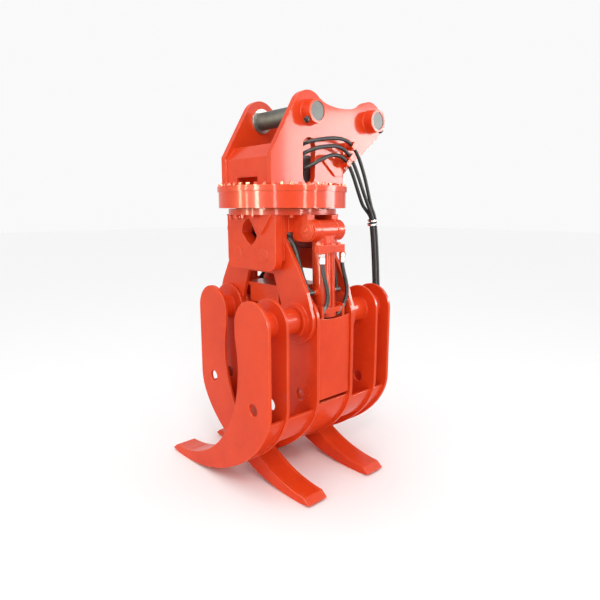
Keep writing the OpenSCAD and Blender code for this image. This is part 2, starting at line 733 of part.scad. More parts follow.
// The opening in the front hanger plate, as shares of the plate's width and height
hanger_hole_shares = [
    [-0.133, 0.865], [-0.06, 0.929], [-0.02, 0.929], [0.025, 0.857], [0.136, 0.62], [0.105, 0.544],
    [0.029, 0.449], [-0.03, 0.468], [-0.1, 0.544], [-0.181, 0.679], [-0.17, 0.791]];
module hanger_plate(holed) {
    y_in = -a_out - hanger_pad_t;
    y_out = y_in - hanger_t;
    z0 = deck_bottom - hanger_h;
    difference() {
        union() {
            across_y(y_out, y_in) hanger_outline();
            translate([-hanger_w / 2 + hanger_pad_in, y_in, z0 + hanger_corner_r])
                cube([hanger_w - 2 * hanger_pad_in, hanger_pad_t, hanger_h - hanger_corner_r]);
        }
        if (holed) across_y(y_out - over, -a_out + over)
            polygon([for (s = hanger_hole_shares) [s[0] * hanger_w, z0 + s[1] * hanger_h]]);
    }
    if (holed) translate([gusset_x, 0, 0]) across_y(y_out - gusset_t, y_out)
        polygon([[-gusset_w / 2, deck_bottom], [gusset_w / 2, deck_bottom], [0, deck_bottom - gusset_h]]);
    for (s = [-1, 1]) translate([s * spot_x, 0, deck_bottom - spot_drop])
        bar_y(spot_d / 2, y_out - spot_t, y_out);
}
module front_hanger_plate() color(paint) stand() hanger_plate(true);
module rear_hanger_plate() color(paint) stand() rotate([0, 0, half_turn]) hanger_plate(false);

// Two side walls under the deck and the web between the legs
module frame_walls() color(paint) stand() {
    for (m = [0, 1]) mirror([m, 0, 0]) translate([wall_x_out - a_plate_t, -a_in, deck_bottom - wall_h])
        cube([a_plate_t, 2 * a_in, wall_h]);
    translate([-web_wide_half, -a_in, web_top - web_plate_t])
        cube([2 * web_wide_half, 2 * a_in, web_plate_t]);
    difference() {
        translate([-web_half, -a_in, web_top - web_h]) cube([2 * web_half, 2 * a_in, web_h - over]);
        translate([-web_half + web_plate_t, -a_in + web_plate_t, web_top - web_h - over])
            cube([2 * (web_half - web_plate_t), 2 * (a_in - web_plate_t), web_h]);
    }
}

module frame_bolts() color(dark) stand() for (h = [0, half_turn]) for (a = deck_bolt_angles)
    rotate([0, 0, a + h]) translate([deck_bolt_r, 0, deck_bottom - bolt_head_h])
        cylinder(d = deck_bolt_d, h = bolt_head_h, $fn = 6);

module ear2_outline() {
    translate([cyl_head_x, cyl_head_height]) circle(r = ear2_r);
    translate([wall_x_out, cyl_head_height - ear2_drop])
        square([cyl_head_x - wall_x_out, ear2_drop + deck_bottom - cyl_head_height]);
}
module cylinder_ears() color(paint) stand() for (t = [0, half_turn]) rotate([0, 0, t]) both_ends()
    difference() {
        across_y(ear2_in, ear2_in + ear2_t) ear2_outline();
        translate([cyl_head_x, 0, cyl_head_height])
            bar_y(cyl_pin_d / 2 + run_fit, ear2_in - over, ear2_in + ear2_t + over);
    }
module head_pins() color(steel) stand() for (t = [0, half_turn]) rotate([0, 0, t])
    translate([cyl_head_x, 0, cyl_head_height])
        bar_y(cyl_pin_d / 2, -ear2_in - ear2_t - over, ear2_in + ear2_t + over);

module pivot_bushes() color(bronze) stand() both_ends() for (s = [-1, 1])
    translate([s * pivot_x, 0, pivot_height]) difference() {
        bar_y(bush_r, -a_out - (s > 0 ? collar_l : 0), -a_in);
        bar_y(pivot_pin_d / 2 + run_fit, -a_out - collar_l - over, -a_in + over);
    }

// Feed hoses: from the swivel shaft over the side walls and down to the barrels
feed_gap = 0.4;
feed_lead = 9;                         // straight lead of each hose into its barrel port
feed_path = [
    [47, -37, 0.663], [66, -52, 0.678], [92, -70, 0.705], [120, -87, feed_top_share], [148, -101, 0.719],
    [174, -107, 0.687], [197, -107.5, 0.621], [215, -107.5, 0.525], [228, -106.5, 0.415],
    [239, -104, 0.299], [250, -100, 0.191], [262, -94, 0.099], [272, -86, 0.036]];
feed_run = concat([for (p = feed_path) [p[0], p[1], feed_port_z + p[2] * (deck_bottom - feed_port_z)]],
    [[feed_x, -feed_reach - feed_lead, feed_port_z], [feed_x, -feed_reach - feed_gap, feed_port_z]]);
module right_feed_hoses() color(rubber) stand() both_ends()
    sweep(feed_run, cyl_hose_d / 2, hose_sides, hose_start_side);
module left_feed_hoses() color(rubber) stand() left_side() both_ends()
    sweep(feed_run, cyl_hose_d / 2, hose_sides, hose_start_side);

// Jaws. A tine is two plates with a skin along the back, one along the mouth, and a tip

module tine_outline() difference() {
    union() {
        polygon(concat([[back_x, pivot_height]], curve_run(back_curve, 0, 1),
            [[-toe_x, 0], [-tip_x, tip_z]], reversed(curve_run(mouth_curve, 0, 1)),
            [[mouth_x, pivot_height]]));
        translate([pivot_x, pivot_height]) circle(r = head_r);
    }
    translate([hole_x, hole_z]) circle(d = hole_d);
}

module back_skin_outline(a, b) polygon(concat(
    curve_run(back_curve, a, b), reversed(curve_offset(back_curve, a, b, -skin_t))));

// The space between the two plates of a tine: open above, closed by the skins and the solid tip
module tine_hollow() polygon(concat(
    [[pivot_x + head_r + over, pivot_height + head_r + over]],
    curve_offset(back_curve, 0, beam_top_share, over),
    curve_offset(back_curve, beam_top_share, tip_share, -skin_t),
    reversed(curve_offset(mouth_curve, floor_start_share, tip_share, skin_t)),
    reversed(curve_offset(mouth_curve, 0, floor_start_share, -over)),
    [[pivot_x - head_r - over, pivot_height + head_r + over]]));

// One box tine between y0 and y1; bored lists where its bored plates start
module box_tine(y0, y1, bored) difference() {
    across_y(y0, y1) tine_outline();
    across_y(y0 + tine_t, y1 - tine_t) tine_hollow();
    for (y = bored) translate([pivot_x, 0, pivot_height]) bar_y(pin_bore, y - over, y + tine_t + over);
}

pin_bore = pivot_pin_d / 2 + run_fit;
tube_bore = tube_d / 2 - skin_t;
module right_front_tine() color(paint) stand()
    box_tine(-outer_far, -outer_near, [-outer_near - tine_t]);
module right_rear_tine() color(paint) stand() mirror([0, 1, 0])
    box_tine(-outer_far, -outer_near, [-outer_near - tine_t]);

// The middle tine carries the cylinder's foot pin between its plates
module right_middle_tine() color(paint) stand() difference() {
    box_tine(-mid_out, mid_out, [-mid_out, mid_in]);
    translate([cyl_foot_x, 0, cyl_foot_height])
        bar_y(cyl_pin_d / 2 + run_fit, -mid_out - over, mid_out + over);
}

module right_cross_beam() color(paint) stand() both_ends()
    across_y(mid_out, outer_near) back_skin_outline(beam_top_share, beam_end_share);

// Pivot tubes: the inner pair turns on the pins, the outer pair only braces the tines
module right_pivot_tubes() color(paint) stand() both_ends() translate([pivot_x, 0, pivot_height]) {
    difference() {
        bar_y(tube_d / 2, a_out + collar_l + side_gap, outer_near);
        bar_y(pin_bore, a_out, outer_near + over);
    }
    difference() {
        bar_y(tube_d / 2, outer_near + tine_t, outer_far - tine_t);
        bar_y(tube_bore, outer_near, outer_far);
    }
}

module pivot_pin(far) {
    bar_y(pivot_pin_d / 2, mid_in - keeper_t / 2, far);
    bar_y(keeper_r, mid_in - keeper_t, mid_in);
}
module right_pivot_pins() color(steel) stand() both_ends()
    translate([pivot_x, 0, pivot_height]) pivot_pin(outer_near + tine_t);

module rod_pin() translate([cyl_foot_x, 0, cyl_foot_height])
    bar_y(cyl_pin_d / 2, -mid_out - rod_pin_over, mid_out + rod_pin_over);
module right_rod_pin() color(steel) stand() rod_pin();

module left_front_tine() color(paint) stand() left_side()
    box_tine(inner_near, inner_far, [inner_near]);
module left_rear_tine() color(paint) stand() left_side() mirror([0, 1, 0])
    box_tine(inner_near, inner_far, [inner_near]);

// Short plates of the two-tine jaw that carry its cylinder's foot pin
inner_plate_end_share = 0.34;
module inner_plate_outline() difference() {
    union() {
        polygon(concat([[back_x, pivot_height]], curve_run(back_curve, 0, inner_plate_end_share),
            reversed(curve_run(mouth_curve, 0, inner_plate_end_share)), [[mouth_x, pivot_height]]));
        translate([pivot_x, pivot_height]) circle(r = head_r);
    }
    translate([pivot_x, pivot_height]) circle(r = pin_bore);
    translate([cyl_foot_x, cyl_foot_height]) circle(r = cyl_pin_d / 2 + run_fit);
}
module left_inner_plates() color(paint) stand() left_side() both_ends()
    across_y(mid_in, mid_out) inner_plate_outline();

module left_cross_beam() color(paint) stand() left_side() {
    both_ends() across_y(mid_out, inner_near) back_skin_outline(beam_top_share, beam_end_share);
    across_y(-mid_in, mid_in) back_skin_outline(beam_top_share, beam_end_share);
}

module left_pivot_tubes() color(paint) stand() left_side() both_ends()
    translate([pivot_x, 0, pivot_height]) difference() {
        bar_y(tube_d / 2, inner_near + tine_t, inner_far - tine_t);
        bar_y(pin_bore, inner_near, inner_far);
    }
module left_pivot_pins() color(steel) stand() left_side() both_ends()
    translate([pivot_x, 0, pivot_height]) pivot_pin(inner_far - tine_t);
module left_rod_pin() color(steel) stand() left_side() rod_pin();

// Cylinders, drawn from the head pin down along their own axis

module along_cylinder() translate([cyl_head_x, 0, cyl_head_height]) rotate([0, -cyl_tilt, 0]) children();

module barrel() along_cylinder() difference() {
    union() {
        bar_y(eye_r, -eye_half, eye_half);
        translate([0, 0, -barrel_l]) cylinder(d = barrel_d, h = barrel_l - barrel_cap / 3);
        translate([0, 0, -feed_drop]) bar_y(port_r, -feed_reach, feed_reach);
    }
    bar_y(cyl_pin_d / 2 + run_fit, -eye_half - over, eye_half + over);
    translate([0, 0, -barrel_l - over])
        cylinder(r = barrel_d / 2 - barrel_wall, h = barrel_l - barrel_cap + over);
}

module gland() along_cylinder() translate([0, 0, -barrel_l - gland_h]) difference() {
    cylinder(d = gland_d, h = gland_h);
    translate([0, 0, -over]) cylinder(r = rod_d / 2 + rod_slack, h = gland_h + 2 * over);
}

module rod() along_cylinder() difference() {
    union() {
        translate([0, 0, -cyl_len]) bar_y(foot_eye_r, -foot_half, foot_half);
        translate([0, 0, -cyl_len]) cylinder(d = rod_d, h = cyl_len - barrel_l + piston_back + over);
        translate([0, 0, -barrel_l + piston_back])
            cylinder(r = barrel_d / 2 - barrel_wall - piston_slack, h = piston_l);
    }
    translate([0, 0, -cyl_len]) bar_y(cyl_pin_d / 2 + run_fit, -foot_half - over, foot_half + over);
}

// A dished plate in front of the rod, held by two arms on a collar round the barrel's end
module rod_guard() {
    difference() {
        translate([guard_x, -guard_half, guard_low]) cube([guard_t, 2 * guard_half, guard_high - guard_low]);
        translate([0, 0, guard_high + guard_dish_r - guard_dish])
            bar_x(guard_dish_r, guard_x - over, guard_x + guard_t + over);
    }
    difference() {
        both_ends() translate([arm_x, arm_in, arm_low]) cube([guard_x - arm_x, arm_t, arm_h]);
        along_cylinder() translate([0, 0, -barrel_l - gland_h - over])
            cylinder(d = gland_d + seat_gap, h = gland_h + over);
    }
    difference() {
        along_cylinder() translate([0, 0, -barrel_l + seat_gap]) difference() {
            cylinder(r = collar2_r, h = collar2_h);
            translate([0, 0, -over]) cylinder(r = barrel_d / 2 + seat_gap / 2, h = collar2_h + 2 * over);
        }
        translate([guard_x - over, -collar2_r - over, arm_low])
            cube([collar2_r, 2 * (collar2_r + over), 2 * arm_h]);
    }
}

// Port block on the barrel's shoulder and the crimped ends of the two hoses below it
sleeve_tops = [[sleeve_x, sleeve_front_y], [sleeve_x, sleeve_rear_y]];
hose_top = block_low - sleeve_l;
hose_foot = barrel_end + 2 * over;
hose_front_path = [
    [330, -65, 0], [331, -63, 0.10], [333, -57, 0.24], [335, -48, 0.38], [336, -39, 0.52],
    [336, -34, 0.65], [334, -35, 0.76], [330, -42, 0.87], [322, -56, 1]];
hose_rear_path = [
    [330, 60, 0], [331, 63, 0.10], [333, 71, 0.24], [335, 80, 0.38], [336, 87, 0.52],
    [336, 88, 0.65], [334, 83, 0.76], [330, 73, 0.87], [322, 56, 1]];
function hose_run(path) = [for (p = path) [p[0], p[1], hose_top + p[2] * (hose_foot - hose_top)]];
module port_block() {
    difference() {
        translate([block_x, block_y0, block_low]) cube([block_t, block_y1 - block_y0, block_h]);
        along_cylinder() translate([0, 0, -barrel_l]) cylinder(r = barrel_d / 2 + seat_gap / 2, h = barrel_l);
    }
    for (p = sleeve_tops) translate([p[0], p[1], hose_top]) cylinder(d = sleeve_d, h = sleeve_l + over);
}
module cylinder_hoses() {
    sweep(hose_run(hose_front_path), cyl_hose_d / 2, hose_sides, [1, 0, 0]);
    sweep(hose_run(hose_rear_path), cyl_hose_d / 2, hose_sides, [1, 0, 0]);
}

module right_barrel() color(paint) stand() barrel();
module right_gland() color(steel) stand() gland();
module right_rod_guard() color(paint) stand() rod_guard();
module right_port_block() color(paint) stand() port_block();
module right_hoses() color(rubber) stand() cylinder_hoses();
module right_rod() color(bright) stand() rod();
module left_barrel() color(paint) stand() left_side() barrel();
module left_gland() color(steel) stand() left_side() gland();
module left_rod_guard() color(paint) stand() left_side() rod_guard();
module left_port_block() color(paint) stand() left_side() port_block();
module left_hoses() color(rubber) stand() left_side() cylinder_hoses();
module left_rod() color(bright) stand() left_side() rod();

side_plate_right();
side_plate_left();
front_cross_plate();
rear_cross_plate();
ring_housing();
housing_bolts();
front_pin();
rear_pin();
pin_shims();
pin_lock_bolts();
outer_race();
slew_motor();
swivel_housing();
hose_clamps();
supply_hose_upper();
supply_hose_middle();
supply_hose_lower();
supply_hose_fittings();
drive_pinion();
gear_ring();
bearing_balls();
frame_top_plate();
front_frame_plate();
rear_frame_plate();
front_hanger_plate();
rear_hanger_plate();
frame_walls();
frame_bolts();
cylinder_ears();
head_pins();
pivot_bushes();
swivel_shaft();
right_feed_hoses();
left_feed_hoses();
right_front_tine();
right_middle_tine();
right_rear_tine();
right_cross_beam();
right_pivot_tubes();
right_pivot_pins();
right_rod_pin();
left_front_tine();
left_rear_tine();
left_inner_plates();
left_cross_beam();
left_pivot_tubes();
left_pivot_pins();
left_rod_pin();
right_barrel();
right_gland();
right_rod_guard();
right_port_block();
right_hoses();
right_rod();
left_barrel();
left_gland();
left_rod_guard();
left_port_block();
left_hoses();
left_rod();
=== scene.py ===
import math

import bmesh
import bpy
from mathutils import Matrix, Vector


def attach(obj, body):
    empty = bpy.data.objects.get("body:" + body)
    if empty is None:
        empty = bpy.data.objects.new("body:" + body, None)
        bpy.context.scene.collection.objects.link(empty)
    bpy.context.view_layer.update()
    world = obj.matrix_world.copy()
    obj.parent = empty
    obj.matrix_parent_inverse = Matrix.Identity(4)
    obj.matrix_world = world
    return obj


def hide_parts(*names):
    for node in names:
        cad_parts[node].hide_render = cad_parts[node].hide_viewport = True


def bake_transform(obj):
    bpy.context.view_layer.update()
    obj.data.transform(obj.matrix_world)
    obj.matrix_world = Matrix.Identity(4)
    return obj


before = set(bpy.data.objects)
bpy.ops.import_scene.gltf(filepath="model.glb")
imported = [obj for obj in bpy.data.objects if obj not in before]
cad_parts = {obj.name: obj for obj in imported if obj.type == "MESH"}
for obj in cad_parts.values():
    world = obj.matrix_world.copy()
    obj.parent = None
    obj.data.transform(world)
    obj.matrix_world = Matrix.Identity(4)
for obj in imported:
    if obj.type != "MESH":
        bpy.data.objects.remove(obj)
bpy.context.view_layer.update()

scene = bpy.context.scene
bpy.ops.object.select_all(action="DESELECT")

# Camera: the photograph is taken from the front right, a little above the tines' middle,
# with the lens axis eleven degrees down.
camera_data = bpy.data.cameras.new("photo_camera")
camera = bpy.data.objects.new("photo_camera", camera_data)
scene.collection.objects.link(camera)
camera.location = (1.8483, -1.6136, -0.4137)
camera.rotation_euler = (math.radians(90 - 10.957), 0, math.radians(46.924))
camera_data.lens = 30.54
camera_data.sensor_width = 36
camera_data.shift_x = -0.0003
camera_data.shift_y = 0.0141
camera_data.clip_end = 60
scene.camera = camera

# Supply hoses: three rubber pressure hoses from the swivel through the slot in the right
# side plate, over the clamps and down behind the jaws. Wrapped cover, crimped steel ends.
GROUND = -1.660


def metres(points):
    return [Vector((x / 1000, y / 1000, z / 1000 + GROUND)) for x, y, z in points]


def smooth_route(points, steps=6):
    route = []
    ends = [2 * points[0] - points[1]] + list(points) + [2 * points[-1] - points[-2]]
    for i in range(1, len(ends) - 2):
        a, b, c, d = ends[i - 1], ends[i], ends[i + 1], ends[i + 2]
        for k in range(steps):
            t = k / steps
            route.append(0.5 * ((2 * b) + (c - a) * t + (2 * a - 5 * b + 4 * c - d) * t * t
                                + (3 * b - a - 3 * c + d) * t ** 3))
    route.append(points[-1])
    return route


def set_inputs(node, **inputs):
    """Sets a node's inputs to values or other nodes' outputs; _ stands for a space."""
    for key, value in inputs.items():
        socket = node.inputs[key.replace("_", " ")]
        if isinstance(value, bpy.types.NodeSocket):
            node.id_data.links.new(value, socket)
        else:
            socket.default_value = value


def add_node(m, kind, settings=None, **inputs):
    """A shader node with its settings and inputs."""
    made = m.node_tree.nodes.new("ShaderNode" + kind)
    for key, value in (settings or {}).items():
        setattr(made, key, value)
    set_inputs(made, **inputs)
    return made


def two_tones(m, driver, low_at, low, high_at, high):
    """A colour that runs from low to high as the driver rises between two places."""
    ramp = add_node(m, "ValToRGB", Fac=driver)
    for stop, place, colour in zip(ramp.color_ramp.elements, (low_at, high_at), (low, high)):
        stop.position = place
        stop.color = (*colour, 1)
    return ramp.outputs["Color"]


def surface(name, **inputs):
    """A new material and its shader, with these inputs set."""
    m = bpy.data.materials.new(name)
    m.use_nodes = True
    shader = m.node_tree.nodes["Principled BSDF"]
    set_inputs(shader, **inputs)
    return m, shader


def hose_rubber(name, wrap_scale, wrap_depth, groove_shade):
    """Dusty black rubber with a cover wrapped at an angle round the hose; the wrap's grooves are
    darkened as painted shade.
    """
    m, shader = surface(name, Specular_IOR_Level=0.28)
    uv = add_node(m, "UVMap", {"uv_map": "along"})
    place = add_node(m, "Mapping", Vector=uv.outputs["UV"], Rotation=(0, 0, math.radians(28)))
    wrap = add_node(m, "TexWave", Vector=place.outputs["Vector"], Scale=wrap_scale,
                    Distortion=0.3, Detail=1)
    spots = add_node(m, "TexCoord")
    dust = add_node(m, "TexNoise", Vector=spots.outputs["Object"], Scale=60, Detail=6)
    tone = two_tones(m, dust.outputs["Fac"], 0.35, (0.005, 0.005, 0.006),
                     0.75, (0.018, 0.018, 0.019))
    # painted shade: the grooves of the wrap are mixed towards near black
    groove_shade_mask = add_node(m, "MapRange", Value=wrap.outputs["Fac"], From_Min=0.45, From_Max=0.05,
                      To_Max=groove_shade)
    groove = add_node(m, "Mix", {"data_type": "RGBA"}, Factor=groove_shade_mask.outputs["Result"], A=tone,
                      B=(0.004, 0.004, 0.004, 1))
    rough = add_node(m, "MapRange", Value=dust.outputs["Fac"], To_Min=0.36, To_Max=0.60)
    bump = add_node(m, "Bump", Height=wrap.outputs["Fac"], Strength=0.8, Distance=wrap_depth)
    set_inputs(shader, Base_Color=groove.outputs["Result"], Roughness=rough.outputs["Result"],
               Normal=bump.outputs["Normal"])
    return m


RUBBER = hose_rubber("hose_rubber", 9, 0.0005, 0.3)
GUARDED = hose_rubber("hose_guard", 3.6, 0.0016, 0.9)
SUPPLY_R = 0.0084
GUARDED_R = 0.0089


def hose_tube(name, route, radius, cover=RUBBER, sides=20):
    """A round hose with its length in the UV map, so that the wrap follows it."""
    uv_per_metre = 10
    bm = bmesh.new()
    along = bm.loops.layers.uv.new("along")
    rings, dist, normal = [], 0.0, None
    for i, p in enumerate(route):
        d = (route[min(i + 1, len(route) - 1)] - route[max(i - 1, 0)]).normalized()
        if normal is None:
            normal = d.cross(Vector((0.3, 0.2, 0.93))).normalized()
        normal = (normal - d * normal.dot(d)).normalized()
        side = d.cross(normal)
        if i:
            dist += (p - route[i - 1]).length
        ring = [bm.verts.new(p + radius * (math.cos(2 * math.pi * k / sides) * normal
                                           + math.sin(2 * math.pi * k / sides) * side))
                for k in range(sides)]
        rings.append((ring, dist))
    for (a, da), (b, db) in zip(rings, rings[1:]):
        for k in range(sides):
            j = (k + 1) % sides
            face = bm.faces.new((a[k], a[j], b[j], b[k]))
            for loop, (u, v) in zip(face.loops, ((da, k), (da, k + 1), (db, k + 1), (db, k))):
                loop[along].uv = (u * uv_per_metre,
                                  v / sides * 2 * math.pi * radius * uv_per_metre)
    bm.faces.new(list(reversed(rings[0][0])))
    bm.faces.new(rings[-1][0])
    bmesh.ops.recalc_face_normals(bm, faces=bm.faces)
    mesh = bpy.data.meshes.new(name)
    bm.to_mesh(mesh)
    bm.free()
    for f in mesh.polygons:
        f.use_smooth = len(f.vertices) == 4
    piece = bpy.data.objects.new(name, mesh)
    scene.collection.objects.link(piece)
    piece.data.materials.append(cover)
    return piece


supply_start = [(64, -37), (88, -42), (113, -39), (137, -29), (159, -14), (180, 3), (198, 23),
                (211, 47)]
supply_runs = {
    "upper": ([1488, 1494, 1505, 1519, 1531, 1540, 1546, 1551], [
        (216, 78, 1556), (217, 112, 1560), (217, 147, 1562), (217, 182, 1560), (217, 214, 1552),
        (217, 243, 1536), (218, 270, 1511), (218, 294, 1478), (218, 315, 1441), (218, 335, 1400),
        (218, 354, 1354), (218, 372, 1306), (218, 392, 1258)], (5, 10)),
    "middle": ([1445, 1450, 1461, 1476, 1490, 1502, 1511, 1518], [
        (216, 78, 1523), (217, 112, 1527), (217, 146, 1526), (217, 178, 1519), (217, 206, 1505),
        (217, 231, 1484), (218, 254, 1456), (218, 277, 1421), (218, 301, 1380), (218, 326, 1334),
        (218, 354, 1286)], (5, -10)),
    "lower": ([1395, 1399, 1406, 1415, 1425, 1437, 1451, 1466], [
        (216, 78, 1479), (216, 110, 1487), (216, 142, 1488), (215, 172, 1483), (215, 200, 1470),
        (213, 225, 1450), (210, 249, 1422), (207, 272, 1389), (203, 296, 1352), (200, 322, 1310),
        (198, 352, 1266)], (-13.5, 0))}
bundle_run = [
    (408, 1212, 1), (420, 1150, 1), (430, 1086, 1), (438, 1018, 1), (445, 948, 1), (451, 876, 1),
    (456, 802, 1.3), (459, 738, 1.9), (460, 692, 2.4), (460, 650, 2.4)]
supply_hoses = {}
for key, (heights, run, (px, py)) in supply_runs.items():
    points = metres([(x, y, z) for (x, y), z in zip(supply_start, heights)] + run
                    + [(213 + k * px, y + k * py, z) for y, z, k in bundle_run])
    route = smooth_route(points)
    hose = hose_tube("supply_hose_cover_" + key, route, SUPPLY_R)
    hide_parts("supply_hose_" + key)
    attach(hose, "head")
    supply_hoses[key] = (hose, route)


def turned(name, profile, foot, way, sides=32, shade=35):
    """Spins a profile of (radius, distance) points about the line from foot along way."""
    way = Vector(way).normalized()
    turn = Vector((0, 0, 1)).rotation_difference(way)
    foot = Vector(foot)
    mesh = bpy.data.meshes.new(name)
    mesh.from_pydata([(r, 0, h) for r, h in profile],
                     [(i, i + 1) for i in range(len(profile) - 1)], [])
    piece = bpy.data.objects.new(name, mesh)
    scene.collection.objects.link(piece)
    bpy.ops.object.select_all(action="DESELECT")
    bpy.context.view_layer.objects.active = piece
    piece.select_set(True)
    bpy.ops.object.mode_set(mode="EDIT")
    bpy.ops.mesh.select_all(action="SELECT")
    bpy.ops.mesh.spin(steps=sides, angle=2 * math.pi, center=(0, 0, 0), axis=(0, 0, 1))
    bpy.ops.mesh.select_all(action="SELECT")
    bpy.ops.mesh.remove_doubles(threshold=0.00002)
    bpy.ops.mesh.normals_make_consistent(inside=False)
    bpy.ops.object.mode_set(mode="OBJECT")
    for v in mesh.vertices:
        v.co = foot + turn @ v.co
    mesh.update()
    bpy.ops.object.shade_smooth_by_angle(angle=math.radians(shade))
    bpy.ops.object.select_all(action="DESELECT")
    return piece


def joined(name, pieces):
    """Joins loose meshes into one piece of the object."""
    bpy.ops.object.select_all(action="DESELECT")
    for piece in pieces:
        piece.select_set(True)
    bpy.context.view_layer.objects.active = pieces[0]
    bpy.ops.object.join()
    whole = bpy.context.view_layer.objects.active
    whole.name = name
    whole.data.name = name
    bpy.ops.object.select_all(action="DESELECT")
    return whole


# Hose ends: a ribbed crimp sleeve, a hexagon and the threaded cone of each supply hose,
# zinc plated.
def crimped_end(name, tip, way, size, parts=("crimp", "nut", "spigot")):
    """The crimp, nut and spigot of a hose end; size is the hose's radius."""
    done = []
    if "crimp" in parts:
        crest, valley = size + 0.0011, size + 0.0003
        sleeve = [(0.0, -0.020), (size + 0.0006, -0.020), (crest, -0.019)]
        for k in range(6):
            h = -0.017 + 0.0072 * k
            sleeve += [(crest, h), (valley, h + 0.0012), (valley, h + 0.0034),
                       (crest, h + 0.0046)]
        sleeve += [(crest, 0.029), (size * 0.78, 0.030), (size * 0.78, 0.036), (0.0, 0.036)]
        done.append(turned("crimp", sleeve, tip, way))
    if "nut" in parts:
        w = size + 0.0010
        done.append(turned("nut", [
            (0.0, 0.0345), (w * 0.90, 0.0345), (w, 0.0362), (w, 0.0475), (w * 0.90, 0.049),
            (0.0, 0.049)], tip, way, sides=6, shade=20))
    if "spigot" in parts:
        thread = [(size * (0.74 if k % 2 else 0.69), 0.050 + 0.0008 * k) for k in range(12)]
        done.append(turned("spigot", [(0.0, 0.0485), (size * 0.74, 0.0485)] + thread
                           + [(size * 0.6, 0.0612), (0.0, 0.0612)], tip, way))
    return joined(name, done)


fittings_made = []
for key, (hose, route) in supply_hoses.items():
    end = crimped_end("supply_hose_end_" + key, route[-1], (route[-1] - route[-2]).normalized(),
                      SUPPLY_R)
    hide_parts("supply_hose_fittings")
    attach(end, "head")
    fittings_made.append(end)

# Swivel elbows: a zinc plated nut and crimp where each supply hose leaves the rotary joint.
for key, (hose, route) in supply_hoses.items():
    way = (route[0] - route[2]).normalized()
    start = crimped_end("supply_hose_root_" + key, route[0] - 0.030 * way, way, 0.0088,
                        ("crimp", "nut"))
    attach(start, "head")
    fittings_made.append(start)

# Hose tie: two turns of galvanised wire strap round the bundle where it starts to hang.
tie_at = Vector((0.2100, 0.4115, 1.190 + GROUND))
strap_section = [(0.0232, 0.0), (0.0246, 0.0008), (0.0246, 0.0092), (0.0232, 0.0100),
                 (0.0226, 0.0050), (0.0232, 0.0)]
for k in range(2):
    strap = turned("bundle_strap_" + "ab"[k], strap_section,
                   tie_at - Vector((0, 0.002, 0.016)) * (k * 1.2), (0, -0.19, 0.98), sides=48)
    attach(strap, "head")
    fittings_made.append(strap)

# Cylinder hoses: on each side two wrapped hoses run from the port block down to the barrel's
# open end, with silver crimps under the block.
sides_of = {"right": 1, "left": -1}
shade_darkened_ends = []
hose_paths = {
    "front": [(330, -65, 0), (331, -63, 0.10), (333, -57, 0.24), (335, -48, 0.38), (336, -39, 0.52),
              (336, -34, 0.65), (334, -35, 0.76), (330, -42, 0.87), (322, -56, 1)],
    "rear": [(330, 60, 0), (331, 63, 0.10), (333, 71, 0.24), (335, 80, 0.38), (336, 87, 0.52),
             (336, 88, 0.65), (334, 83, 0.76), (330, 73, 0.87), (322, 56, 1)]}
collar_ribs = [(0.0092, 0), (0.0134, 0.0008)]
for k in range(6):
    h = 0.002 + 0.004 * k
    collar_ribs += [(0.0138, h), (0.0138, h + 0.0022), (0.0130, h + 0.0030), (0.0130, h + 0.0036)]
collar_ribs += [(0.0138, 0.0265), (0.0128, 0.0275), (0.0092, 0.0275)]
collar_nut = [(0.0092, 0.028), (0.0146, 0.028), (0.0156, 0.030), (0.0156, 0.041), (0.0146, 0.043),
              (0.0092, 0.043)]
for side, turn_round in sides_of.items():
    for key, path in hose_paths.items():
        points = metres([(turn_round * x, turn_round * y, 1022 - 222 * k) for x, y, k in path])
        route = smooth_route([points[0] + Vector((0, 0, 0.012))] + points)
        hose = hose_tube(side + "_hose_" + key, route, GUARDED_R, GUARDED)
        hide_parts(side + "_hoses")
        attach(hose, side + "_cylinder")
        collar_foot = points[0] - Vector((0, 0, 0.003))
        collar = joined(side + "_" + key + "_hose_crimp", [
            turned("crimp", collar_ribs, collar_foot, (0, 0, 1)),
            turned("nut", collar_nut, collar_foot, (0, 0, 1), sides=6, shade=20)])
        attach(collar, side + "_cylinder")
        fittings_made.append(collar)
        way = (route[-1] - route[-3]).normalized()
        foot = crimped_end(side + "_" + key + "_hose_foot", route[-3] - 0.006 * way, way, 0.0092,
                           ("crimp",))
        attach(foot, side + "_cylinder")
        shade_darkened_ends.append(foot)

# Feed hoses: two hoses on each side cross from the swivel shaft to the barrel's lower ports and
# bend with the swinging barrel.
feed_path = [
    (47, -37, 0.663), (66, -52, 0.678), (92, -70, 0.705), (120, -87, 0.722), (148, -101, 0.719),
    (174, -107, 0.687), (197, -107.5, 0.621), (215, -107.5, 0.525), (228, -106.5, 0.415),
    (239, -104, 0.299), (250, -100, 0.191), (262, -94, 0.099), (272, -86, 0.036),
    (277.6, -75, 0), (277.6, -66.4, 0)]
for side, turn_round in sides_of.items():
    for key, over in (("front", 1), ("rear", -1)):
        points = metres([(turn_round * x, turn_round * over * y, 890 + 335 * k)
                         for x, y, k in feed_path])
        hose = hose_tube(side + "_feed_hose_" + key, smooth_route(points), GUARDED_R, GUARDED)
        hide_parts(side + "_feed_hoses")
        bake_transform(hose)
        root = crimped_end(side + "_" + key + "_feed_root",
                           points[0] + (points[1] - points[0]) * 1.2,
                           (points[0] - points[1]).normalized(), 0.0092, ("crimp", "nut"))
        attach(root, "hanger")
        tip = crimped_end(side + "_" + key + "_feed_tip",
                          points[-2] + Vector((0, -turn_round * over * 0.004, 0)),
                          Vector((0, turn_round * over, 0)), 0.0092, ("crimp",))
        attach(tip, side + "_cylinder")
        shade_darkened_ends += [root, tip]
